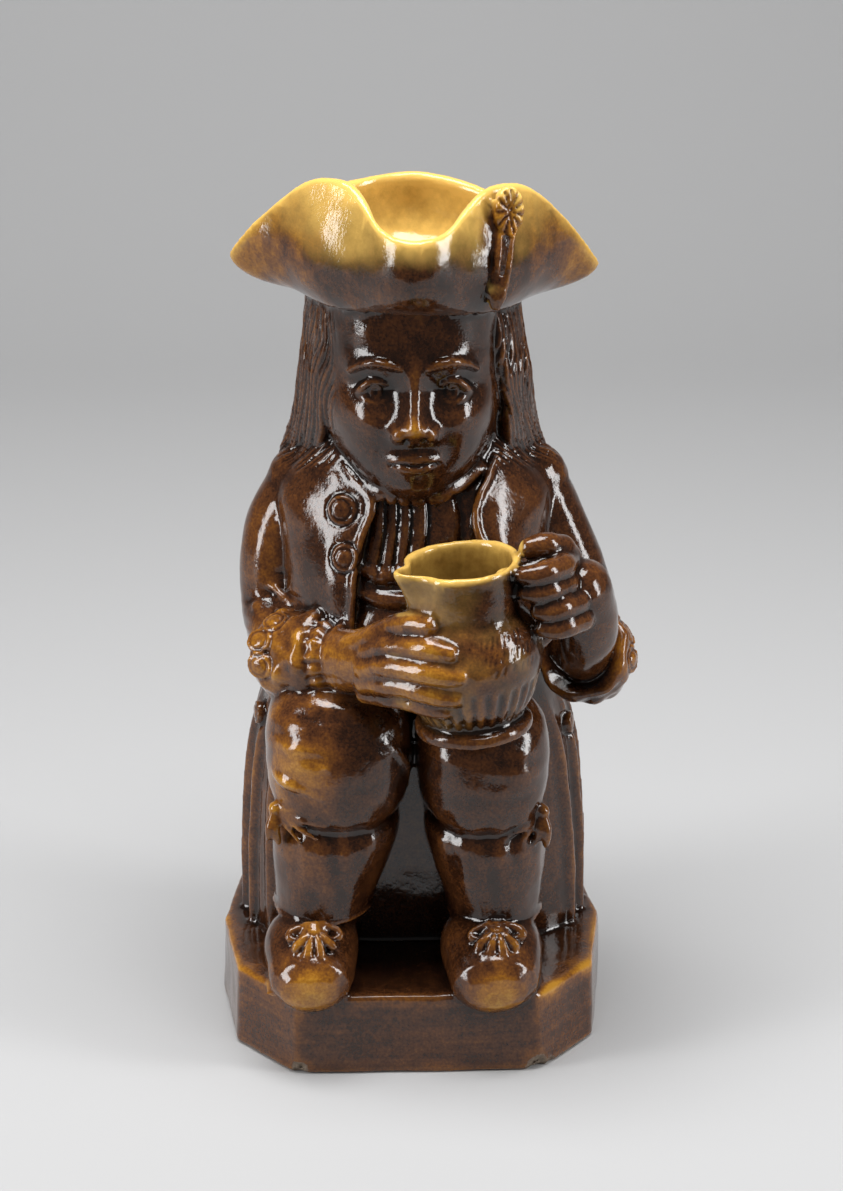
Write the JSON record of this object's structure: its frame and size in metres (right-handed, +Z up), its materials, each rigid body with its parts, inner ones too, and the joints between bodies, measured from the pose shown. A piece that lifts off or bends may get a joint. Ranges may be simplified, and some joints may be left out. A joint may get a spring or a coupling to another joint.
{
  "type": "toby jug",
  "caption": "Glazed earthenware jug shaped as a seated man in a three-cornered hat, whose brim is the mouth, on a low canted plinth with a loop handle.",
  "frame": {"origin": "middle of the plinth's flat underside", "axes": "+Z up, the figure looks along -Y, +X to the right of someone who faces it"},
  "size_m": [0.1405, 0.1645, 0.3018],
  "materials": {
    "brown_glaze": "glossy treacle-brown lead glaze over buff earthenware, amber where it thins, ochre inside"
  },
  "bodies": {
    "root": {"toby_jug": "brown_glaze"}
  },
  "joints": []
}
